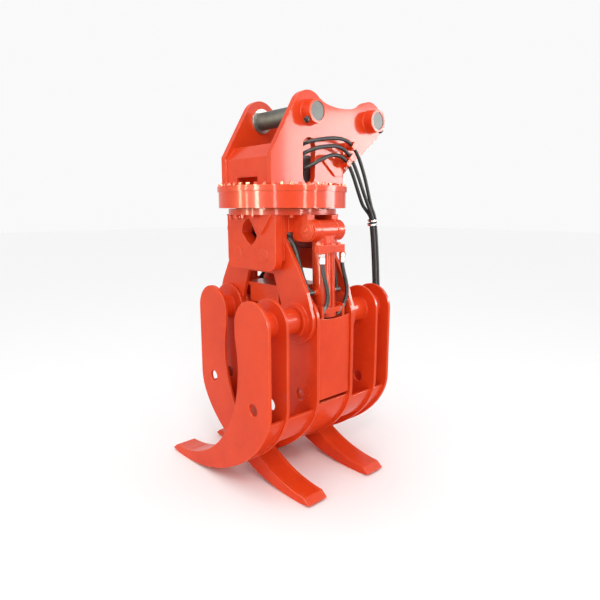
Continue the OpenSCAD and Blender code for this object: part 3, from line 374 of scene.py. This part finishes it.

# Glossy orange-red enamel on welded plate: thick, sprayed over weld seams, a little uneven,
# with softened edges, faint dust on the flats and thin lighter lines at the corners that are
# partly rubbed paint and partly painted highlight.


def enamel(name, base=(0.77, 0.056, 0.009), deep=(0.65, 0.038, 0.006), edge=(0.90, 0.16, 0.055),
           wave=9, round_off=0.004, dust=0.08, gloss=0.42):
    m, shader = surface(name, IOR=1.5, Specular_IOR_Level=0.09, Coat_Weight=gloss,
                        Coat_IOR=1.28, Coat_Roughness=0.09)
    place = add_node(m, "TexCoord").outputs["Object"]
    large = add_node(m, "TexNoise", Vector=place, Scale=4.5, Detail=5, Roughness=0.6)
    tone = two_tones(m, large.outputs["Fac"], 0.25, deep, 0.62, base)
    # lighter edges, partly rubbed paint and partly painted highlight: where a softened normal
    # leaves the true one
    soft = add_node(m, "Bevel", {"samples": 6}, Radius=round_off)
    lean = add_node(m, "VectorMath", {"operation": "DOT_PRODUCT"})
    true_normal = add_node(m, "NewGeometry")
    m.node_tree.links.new(soft.outputs["Normal"], lean.inputs[0])
    m.node_tree.links.new(true_normal.outputs["Normal"], lean.inputs[1])
    rub_and_highlight = add_node(m, "MapRange", Value=lean.outputs["Value"], From_Min=0.995, From_Max=0.90,
                   To_Max=0.75)
    mix = add_node(m, "Mix", {"data_type": "RGBA"}, Factor=rub_and_highlight.outputs["Result"], A=tone,
                   B=(*edge, 1))
    # fine dust lies in the paint's pores
    fine = add_node(m, "TexNoise", Vector=place, Scale=38, Detail=8)
    film = add_node(m, "MapRange", Value=fine.outputs["Fac"], From_Min=0.45, From_Max=0.80,
                    To_Max=dust)
    dusted = add_node(m, "Mix", {"data_type": "RGBA"}, Factor=film.outputs["Result"],
                      A=mix.outputs["Result"], B=(0.80, 0.12, 0.045, 1))
    rough = add_node(m, "MapRange", Value=fine.outputs["Fac"], To_Min=0.26, To_Max=0.46)
    # orange peel over slow waves of the plate
    peel = add_node(m, "TexNoise", Vector=place, Scale=260, Detail=2)
    slow = add_node(m, "TexNoise", Vector=place, Scale=wave, Detail=2)
    peel_bump = add_node(m, "Bump", Height=peel.outputs["Fac"], Normal=soft.outputs["Normal"],
                         Strength=0.12, Distance=0.0008)
    slow_bump = add_node(m, "Bump", Height=slow.outputs["Fac"],
                         Normal=peel_bump.outputs["Normal"], Strength=0.25, Distance=0.004)
    set_inputs(shader, Base_Color=dusted.outputs["Result"], Roughness=rough.outputs["Result"],
               Normal=slow_bump.outputs["Normal"])
    return m


PAINT = enamel("paint")


def coat(piece, material):
    """Gives a piece this one finish."""
    piece.data.materials.clear()
    piece.data.materials.append(material)


def finish_nodes(material, *names):
    """Gives these CAD pieces their finish."""
    for name in names:
        coat(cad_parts[name], material)


finish_nodes(
    PAINT, "side_plate_right", "side_plate_left", "front_cross_plate", "rear_cross_plate",
    "ring_housing", "hose_clamps", "frame_top_plate", "front_frame_plate", "rear_frame_plate",
    "front_hanger_plate", "rear_hanger_plate", "frame_walls", "cylinder_ears",
    "right_pivot_tubes", "left_pivot_tubes", "right_barrel", "right_rod_guard",
    "right_port_block", "left_barrel", "left_rod_guard", "left_port_block")
finish_nodes(enamel("painted_bolts", wave=40, round_off=0.0015, gloss=0.12), "frame_bolts")
finish_nodes(enamel("painted_pins", wave=20, round_off=0.003), "head_pins", "right_rod_pin",
             "left_rod_pin")

# Jaw tines: each is a pair of thick plates with a bent skin set a little inside their edges, and
# a solid chisel tip. The plates' edges are flame cut; one lifting hole goes through both plates.
pivot = (243, 772)
head_round = 113
plate_t = 14
skin_t = 12
skin_back = 13
skin_lap = 0.5
back_edge = [(356, 430), (356, 232), (19, -6), (-345, 0)]
mouth_edge = [(130, 715), (209, 404), (4, 49), (-414, 36)]


def edge_points(guide, start, end, inset=0.0, steps=30):
    """Points along a four-point edge curve, moved sideways by inset (a number or a function)."""
    points = []
    for i in range(steps + 1):
        t = start + (end - start) * i / steps
        u = 1 - t
        x, z = (u ** 3 * guide[0][k] + 3 * u * u * t * guide[1][k] + 3 * u * t * t * guide[2][k]
                + t ** 3 * guide[3][k] for k in (0, 1))
        dx, dz = (3 * u * u * (guide[1][k] - guide[0][k]) + 6 * u * t * (guide[2][k] - guide[1][k])
                  + 3 * t * t * (guide[3][k] - guide[2][k]) for k in (0, 1))
        d = (inset(t) if callable(inset) else inset) / math.hypot(dx, dz)
        points.append((x - dz * d, z + dx * d))
    return points


def plate(outline, y0, y1, holes=(), soft=0.0014, half_turn=False):
    """A plate cut to an outline in X and Z, from y0 to y1 in millimetres, with round holes."""
    mesh = bpy.data.meshes.new("plate")
    mesh.from_pydata([(x / 1000, y0 / 1000, z / 1000 + GROUND) for x, z in outline], [],
                     [list(range(len(outline)))])
    piece = bpy.data.objects.new("plate", mesh)
    scene.collection.objects.link(piece)
    bpy.ops.object.select_all(action="DESELECT")
    bpy.context.view_layer.objects.active = piece
    piece.select_set(True)
    bpy.ops.object.mode_set(mode="EDIT")
    bpy.ops.mesh.select_all(action="SELECT")
    bpy.ops.mesh.extrude_region_move(TRANSFORM_OT_translate={"value": (0, (y1 - y0) / 1000, 0)})
    bpy.ops.mesh.select_all(action="SELECT")
    bpy.ops.mesh.normals_make_consistent(inside=False)
    bpy.ops.object.mode_set(mode="OBJECT")
    for x, z, r in holes:
        bpy.ops.mesh.primitive_cylinder_add(
            vertices=64, radius=r / 1000, depth=(abs(y1 - y0) + 10) / 1000,
            location=(x / 1000, (y0 + y1) / 2000, z / 1000 + GROUND), rotation=(math.pi / 2, 0, 0))
        cutter = bpy.context.object
        cut = piece.modifiers.new("hole", "BOOLEAN")
        cut.operation = "DIFFERENCE"
        cut.object = cutter
        bpy.context.view_layer.objects.active = piece
        bpy.ops.object.modifier_apply(modifier="hole")
        bpy.data.objects.remove(cutter)
    edge = piece.modifiers.new("edge", "BEVEL")
    edge.width = soft
    edge.segments = 1
    edge.limit_method = "ANGLE"
    edge.angle_limit = math.radians(40)
    bpy.ops.object.select_all(action="DESELECT")
    bpy.context.view_layer.objects.active = piece
    piece.select_set(True)
    bpy.ops.object.modifier_apply(modifier="edge")
    if half_turn:
        for v in piece.data.vertices:
            v.co.x, v.co.y = -v.co.x, -v.co.y
    bpy.ops.object.shade_smooth_by_angle(angle=math.radians(28))
    bpy.ops.object.select_all(action="DESELECT")
    return piece


def skin_inset(t):
    """The skin lies well inside the plates' edges above and runs out to them near the tip."""
    s = min(1, max(0, (t - 0.40) / 0.32))
    return -skin_back * (1 - s * s * (3 - 2 * s)) - 0.6


def skin_depth(t):
    """The inner face of the skin."""
    return skin_inset(t) - skin_t


head_arc = [(pivot[0] + head_round * math.cos(a), pivot[1] + head_round * math.sin(a))
            for a in (math.pi * k / 40 for k in range(41))]
tip_corners = [(-445, 11), (-389, 0)]
tine_outline = (head_arc + edge_points(mouth_edge, 0, 1) + tip_corners
                + edge_points(back_edge, 1, 0))
lug_outline = head_arc + edge_points(mouth_edge, 0, 0.34) + edge_points(back_edge, 0.34, 0)
lift_hole = (248, 424, 27)
pin_bore = (*pivot, 32.55)
foot_bore = (290, 455, 25.05)


def box_tine(name, node, body, y0, y1, bores, turn=False, skin_from=0.10):
    """Two plates, two skins and the tip; bores lists the round holes of the near and far plate."""
    back = (edge_points(back_edge, skin_from, 0.90, skin_inset)
            + edge_points(back_edge, 0.90, skin_from, skin_depth))
    mouth = edge_points(mouth_edge, 0.46, 0.90, 0.8) + edge_points(mouth_edge, 0.90, 0.46, skin_t)
    tip = (edge_points(mouth_edge, 0.89, 1, 0, 4) + tip_corners
           + edge_points(back_edge, 1, 0.89, 0, 4))
    inner = (y0 + plate_t - skin_lap, y1 - plate_t + skin_lap)
    tine = joined(name, [
        plate(tine_outline, y0, y0 + plate_t, [lift_hole] + bores[0], half_turn=turn),
        plate(tine_outline, y1 - plate_t, y1, [lift_hole] + bores[1], half_turn=turn)]
        + [plate(outline, *inner, soft=0.0006, half_turn=turn) for outline in (back, mouth, tip)])
    coat(tine, PAINT)
    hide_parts(node)
    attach(tine, body)


box_tine("front_tine_of_three", "right_front_tine", "right_jaw", -388, -278, ([], [pin_bore]))
box_tine("rear_tine_of_three", "right_rear_tine", "right_jaw", 278, 388, ([pin_bore], []))
box_tine("middle_tine_of_three", "right_middle_tine", "right_jaw", -116, 116,
         ([pin_bore, foot_bore], [pin_bore, foot_bore]), skin_from=0.06)
box_tine("rear_tine_of_two", "left_rear_tine", "left_jaw", -250, -139, ([], [pin_bore]), turn=True)
box_tine("front_tine_of_two", "left_front_tine", "left_jaw", 139, 250, ([pin_bore], []), turn=True)
lugs = joined("cylinder_lugs_of_two", [
    plate(lug_outline, y, y + plate_t, [pin_bore, foot_bore], half_turn=True)
    for y in (-116, 102)])
coat(lugs, PAINT)
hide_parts("left_inner_plates")
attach(lugs, "left_jaw")

# Cross beams: bent plates welded between the tines, a little inside their back edges.
beam_outline = (edge_points(back_edge, 0.10, 0.34, skin_inset)
                + edge_points(back_edge, 0.34, 0.10, skin_depth))
for node, body, runs, turn in (
        ("right_cross_beam", "right_jaw", ((-278.5, -115.5), (115.5, 278.5)), False),
        ("left_cross_beam", "left_jaw", ((-139.5, -115.5), (-102.5, 102.5), (115.5, 139.5)), True)):
    beam = joined(node + "_bent", [
        plate(beam_outline, a, b, soft=0.0010, half_turn=turn) for a, b in runs])
    coat(beam, PAINT)
    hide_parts(node)
    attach(beam, body)

# Weld seams: rippled fillet runs round every boss, collar and tube and along the plates' joints,
# sprayed over with the same enamel.


def bead(route, radius, pitch=0.0045):
    """A rippled run along a list of points in metres."""
    spaced, left = [route[0]], pitch / 3
    for a, b in zip(route, route[1:]):
        length, done = (b - a).length, 0.0
        while length - done >= left:
            done += left
            left = pitch / 3
            spaced.append(a + (b - a) * (done / length))
        left -= length - done
    curve = bpy.data.curves.new("bead", "CURVE")
    curve.dimensions = "3D"
    curve.bevel_depth = radius
    curve.bevel_resolution = 1
    curve.use_fill_caps = True
    run = curve.splines.new("POLY")
    run.points.add(len(spaced) - 1)
    for k, (point, p) in enumerate(zip(run.points, spaced)):
        point.co = (*p, 1)
        point.radius = (1.0, 0.90, 0.80)[k % 3]
    piece = bpy.data.objects.new("bead", curve)
    scene.collection.objects.link(piece)
    bpy.ops.object.select_all(action="DESELECT")
    bpy.context.view_layer.objects.active = piece
    piece.select_set(True)
    bpy.ops.object.convert(target="MESH")
    piece = bpy.context.object
    bpy.ops.object.shade_smooth_by_angle(angle=math.radians(60))
    bpy.ops.object.select_all(action="DESELECT")
    return piece


def ring_route(centre, radius, axis, steps=60):
    """Points in metres round a centre given in millimetres, in the plane across the axis."""
    places = []
    for k in range(steps + 1):
        a = math.radians(360 * k / steps)
        u, v = radius * math.cos(a), radius * math.sin(a)
        shift = (0, u, v) if axis == "X" else (u, 0, v)
        places.append([c + d for c, d in zip(centre, shift)])
    return metres(places)


def weld_group(name, body, beads):
    """One piece of all the beads on a body."""
    seams = joined(name, beads)
    coat(seams, PAINT)
    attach(seams, body)


head_beads = []
for s in (-1, 1):
    head_beads.append(bead(metres([(s * 180.5, -213, 1351), (s * 180.5, 220, 1351)]), 0.0042))
    head_beads.append(bead(metres([(s * 149, -208, 1352), (s * 149, -208, 1468),
                                   (s * 149, -160, 1522)]), 0.0036))
    head_beads.append(bead(metres([(s * 76, -208, 1351), (s * 149, -208, 1351)]), 0.0038))
    for y, z in ((0, 1660), (408, 1664)):
        head_beads.append(bead(ring_route((s * 181, y, z), 51.6, "X"), 0.0040))
weld_group("head_welds", "head", head_beads)

hanger_beads = []
for s in (-1, 1):
    hanger_beads.append(bead(metres([(-174, s * 194, 1224), (174, s * 194, 1224)]), 0.0036))
    for t in (-1, 1):
        x = t * 165.5
        hanger_beads += [
            bead(ring_route((t * pivot[0], s * 137, pivot[1]), 75.5, "Y"), 0.0042),
            bead(metres([(x, s * 137.5, 1030), (x, s * 137.5, 1224)]), 0.0034),
            bead(metres([(t * 177, s * 94.5, 1224), (t * 269, s * 94.5, 1224)]), 0.0036),
            bead(ring_route((t * 97, s * 193.8, 1049), 28.4, "Y"), 0.0022)]
hanger_beads.append(bead(metres([(16, -194.5, 1222), (88, -194.5, 1141), (160, -194.5, 1222)]),
                         0.0036))
weld_group("hanger_welds", "hanger", hanger_beads)

beam_seam = metres([(x, 0, z) for x, z in edge_points(back_edge, 0.10, 0.34, skin_inset)])
for body, turn, tube_faces, seam_lines in (
        ("right_jaw", 1, (277.4, 292.6, 373.4), (116.6, 277.4)),
        ("left_jaw", -1, (153.6, 235.4), (100, 116.6, 138.4))):
    jaw_beads = []
    for s in (-1, 1):
        for y in tube_faces:
            jaw_beads.append(bead(ring_route((turn * pivot[0], s * y, pivot[1]), 57.6, "Y"),
                                  0.0042))
        for y in seam_lines:
            jaw_beads.append(bead([Vector((turn * (p.x + 0.0012), s * y / 1000, p.z))
                                   for p in beam_seam], 0.0034))
    weld_group(body + "_welds", body, jaw_beads)

# Lip bolts: a close row of washered hexagon bolts holds the ring housing to the bearing.


def hex_bolt(name, across, height):
    """A hexagon head with a turned crown on its washer, standing on the origin."""
    r = across / math.sqrt(3)
    washer = [(0, 0), (r * 1.12, 0), (r * 1.12, 0.0022), (r * 1.06, 0.0026), (0, 0.0026)]
    crown = [(0, 0.0024), (r * 0.96, 0.0024), (r, 0.0034), (r, height * 0.84),
             (r * 0.86, height), (r * 0.5, height), (r * 0.46, height - 0.0006),
             (0, height - 0.0006)]
    return joined(name, [turned("washer", washer, (0, 0, 0), (0, 0, 1), sides=24),
                         turned("crown", crown, (0, 0, 0), (0, 0, 1), sides=6, shade=20)])


def spread(first, matrices, name):
    """Copies of a piece, each with its own mesh, joined into one group."""
    copies = []
    for m in matrices:
        twin = first.copy()
        twin.data = first.data.copy()
        twin.data.transform(m)
        scene.collection.objects.link(twin)
        copies.append(twin)
    bpy.data.objects.remove(first)
    return joined(name, copies)


# These bolts, the hanger bolts and the port plugs wear the frame's own plain paint.
plain_paint = bpy.data.materials["painted_bolts"]
lip_count = 48
lip_places = [Matrix.Rotation(math.radians(360 / lip_count * k + 4), 4, "Z")
              @ Matrix.Translation((0.2885, 0, 1.350 + GROUND))
              @ Matrix.Rotation(0.7 * k, 4, "Z") for k in range(lip_count)]
lip_bolts = spread(hex_bolt("lip_bolt", 0.0165, 0.0115), lip_places, "lip_bolts")
coat(lip_bolts, plain_paint)
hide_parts("housing_bolts")
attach(lip_bolts, "head")

# Hanger bolts: three hexagon heads along the top of the front hanger plate.
hanger_bolts = spread(hex_bolt("hanger_bolt", 0.020, 0.011), [
    Matrix.Translation((x / 1000, -0.1935, 1.213 + GROUND)) @ Matrix.Rotation(math.pi / 2, 4, "X")
    for x in (-140, -90, -45)], "hanger_bolts")
coat(hanger_bolts, plain_paint)
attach(hanger_bolts, "hanger")

# Port plugs: hexagon plugs close the drilled ends on top of each port block.
for side, turn_round in sides_of.items():
    plugs = spread(hex_bolt("plug", 0.017, 0.009), [
        Matrix.Translation((turn_round * 0.3275, turn_round * y, 1.099 + GROUND))
        for y in (-0.066, 0.0, 0.038)], side + "_port_plugs")
    coat(plugs, plain_paint)
    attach(plugs, side + "_cylinder")

# Head pin caps: stepped retaining discs with a centre bolt close the cylinders' upper pins.
cap_section = [
    (0, 0.0), (0.0400, 0.0), (0.0408, 0.0010), (0.0408, 0.0050), (0.0396, 0.0062),
    (0.0325, 0.0062), (0.0318, 0.0075), (0.0318, 0.0100), (0.0306, 0.0112), (0.0110, 0.0112),
    (0.0110, 0.0100), (0.0, 0.0100)]
for side, turn_round in sides_of.items():
    pin_x, pin_z = turn_round * 270, 1158
    caps = []
    for s in (-1, 1):
        foot = metres([(pin_x, s * 94.5, pin_z)])[0]
        caps.append(turned("cap", cap_section, foot, (0, s, 0), sides=48))
        bolt = hex_bolt("cap_bolt", 0.017, 0.0085)
        bolt.data.transform(Matrix.Translation(foot + Vector((0, s * 0.0100, 0)))
                            @ Matrix.Rotation(-s * math.pi / 2, 4, "X"))
        caps.append(bolt)
        caps.append(bead(ring_route((pin_x, s * 51.8, pin_z), 46.5, "Y"), 0.0028))
    caps = joined(side + "_head_pin_caps", caps)
    coat(caps, PAINT)
    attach(caps, "hanger")

# Barrel pipes: a bent steel pipe runs from each port block down the barrel to its cap end.
pipe_bends = [(322, 1096), (325, 1060), (327, 1000), (329, 940), (331, 880), (333, 820),
              (334, 800)]
clip_section = [(0.0052, -0.008), (0.0078, -0.008), (0.0082, -0.006), (0.0082, 0.006),
                (0.0078, 0.008), (0.0052, 0.008)]
for side, turn_round in sides_of.items():
    pipe = bead(smooth_route(metres([(turn_round * x, 0, z) for x, z in pipe_bends])), 0.0055,
                pitch=0.03)
    clip = turned("pipe_clip", clip_section, metres([(turn_round * 328.5, 0, 952)])[0],
                  (0.02 * turn_round, 0, -1))
    pipe = joined(side + "_barrel_pipe", [pipe, clip])
    coat(pipe, PAINT)
    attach(pipe, side + "_cylinder")

# Bare steel: the head pins, oiled and dark from handling, the turned races and pins, the
# chromed rods and balls, each with its own brushing.


def steel(name, bright, dark, rough, brush=(3, 60, 60), metal=0.95, bump=0.15):
    """Brushed metal; brush is how close its marks lie along X, Y and Z."""
    m, shader = surface(name, Metallic=metal)
    place = add_node(m, "TexCoord").outputs["Object"]
    lay = add_node(m, "Mapping", Vector=place, Scale=brush)
    lines = add_node(m, "TexNoise", Vector=lay.outputs["Vector"], Scale=8, Detail=7)
    stain = add_node(m, "TexNoise", Vector=place, Scale=22, Detail=5)
    tone = two_tones(m, stain.outputs["Fac"], 0.3, dark, 0.7, bright)
    polish = add_node(m, "MapRange", Value=stain.outputs["Fac"], To_Min=max(0.05, rough - 0.1),
                      To_Max=rough + 0.12)
    soft = add_node(m, "Bevel", {"samples": 4}, Radius=0.0015)
    marks = add_node(m, "Bump", Height=lines.outputs["Fac"], Normal=soft.outputs["Normal"],
                     Strength=bump, Distance=0.0004)
    set_inputs(shader, Base_Color=tone, Roughness=polish.outputs["Result"],
               Normal=marks.outputs["Normal"])
    return m


finish_nodes(steel("pin_steel", (0.055, 0.062, 0.058), (0.022, 0.025, 0.024), 0.50, metal=0.25),
             "front_pin", "rear_pin")
finish_nodes(steel("race_steel", (0.42, 0.41, 0.39), (0.22, 0.20, 0.18), 0.36, brush=(2, 2, 90)),
             "outer_race", "drive_pinion", "right_pivot_pins", "left_pivot_pins", "pin_shims")
finish_nodes(steel("rod_chrome", (0.86, 0.87, 0.88), (0.72, 0.73, 0.75), 0.12, brush=(40, 40, 3),
                   bump=0.04), "right_rod", "left_rod")
finish_nodes(steel("ball_steel", (0.80, 0.81, 0.82), (0.6, 0.61, 0.62), 0.10, bump=0.03),
             "bearing_balls")
finish_nodes(steel("bronze", (0.62, 0.42, 0.18), (0.36, 0.22, 0.09), 0.35), "pivot_bushes")
finish_nodes(steel("dark_bolts", (0.055, 0.055, 0.06), (0.02, 0.02, 0.022), 0.4, metal=0.6),
             "pin_lock_bolts")
finish_nodes(steel("cast_housing", (0.12, 0.12, 0.125), (0.05, 0.05, 0.052), 0.55, metal=0.4,
                   bump=0.5, brush=(30, 30, 30)), "slew_motor")
finish_nodes(steel("shaft_steel", (0.50, 0.47, 0.46), (0.32, 0.30, 0.30), 0.5, metal=0.55),
             "swivel_shaft")
# the hose fittings wear the frame's own plain finish of that name
for end in fittings_made:
    coat(end, bpy.data.materials["plated_fittings"])
# the cylinder hoses' feet and both ends of the feed hoses sit in among the parts and get a near
# black steel in place of the plated finish: painted shade
painted_shade_fittings = steel("painted_shade_fittings", (0.10, 0.10, 0.10), (0.035, 0.035, 0.038), 0.45, metal=0.7)
for end in shade_darkened_ends:
    coat(end, painted_shade_fittings)
# the race under the housing is painted where it shows, like the joint and the glands
finish_nodes(PAINT, "swivel_housing", "gear_ring", "right_gland", "left_gland")

# Floor and light: a white floor in a white room, a soft key light above the camera, a weaker
# one overhead, and strips of light that only show as gleams in the enamel.
bpy.ops.mesh.primitive_plane_add(size=60, location=(0, 0, GROUND - 0.0005))
floor = bpy.context.object
floor.name = "floor"
floor_paint = surface("floor_paint", Base_Color=(0.97, 0.97, 0.97, 1), Roughness=0.9,
                      Specular_IOR_Level=0.1)[0]
floor.data.materials.append(floor_paint)
bpy.ops.object.select_all(action="DESELECT")

world = bpy.data.worlds.new("white_room")
world.use_nodes = True
set_inputs(world.node_tree.nodes["Background"], Color=(1, 1, 1, 1), Strength=0.95)
scene.world = world


def soft_light(name, place, aim, size, power, colour=(1, 1, 1), streak=False):
    """An area light; a streak adds gleams and no light to the flats."""
    data = bpy.data.lights.new(name, "AREA")
    data.shape = "RECTANGLE"
    data.size, data.size_y = size
    data.energy = power
    data.color = colour
    light = bpy.data.objects.new(name, data)
    scene.collection.objects.link(light)
    light.location = place
    light.rotation_euler = (Vector(aim) - Vector(place)).to_track_quat("-Z", "Y").to_euler()
    light.visible_diffuse = not streak


soft_light("key", (2.4, -1.6, 1.3), (0, 0, -0.8), (0.9, 0.9), 28)
soft_light("top", (0.2, -0.4, 3.0), (0, 0, -0.8), (1.6, 1.6), 14)
for name, place, aim, size, power, colour in (
        ("strip_a", (-1.5, -3.0, 0.1), (0, 0, -0.3), (0.34, 2.6), 170, (1, 0.88, 0.60)),
        ("strip_b", (-0.75, -3.2, 0.1), (0, 0, -0.3), (0.14, 2.6), 100, (1, 0.90, 0.66)),
        ("strip_c", (0.35, -3.3, 0.1), (0, 0, -0.3), (0.42, 2.6), 360, (1, 0.92, 0.74)),
        ("strip_d", (2.05, -2.75, 0.1), (0, 0, -0.3), (0.16, 2.6), 95, (1, 0.95, 0.88)),
        ("strip_e", (3.3, -0.2, 0.1), (0, 0, -0.3), (0.30, 2.6), 140, (1, 0.93, 0.80)),
        ("strip_f", (3.2, 0.9, 0.1), (0, 0, -0.3), (0.16, 2.6), 85, (1, 0.93, 0.80)),
        ("glare", (2.45, 2.85, 0.10), (0.18, 0.20, -0.18), (1.5, 1.1), 185, (1, 0.97, 0.95)),
        ("over", (1.5, -1.9, 1.9), (0, 0, -0.9), (2.4, 0.20), 260, (1, 0.97, 0.93))):
    soft_light(name, place, aim, size, power, colour, streak=True)
scene.view_settings.view_transform = "Standard"
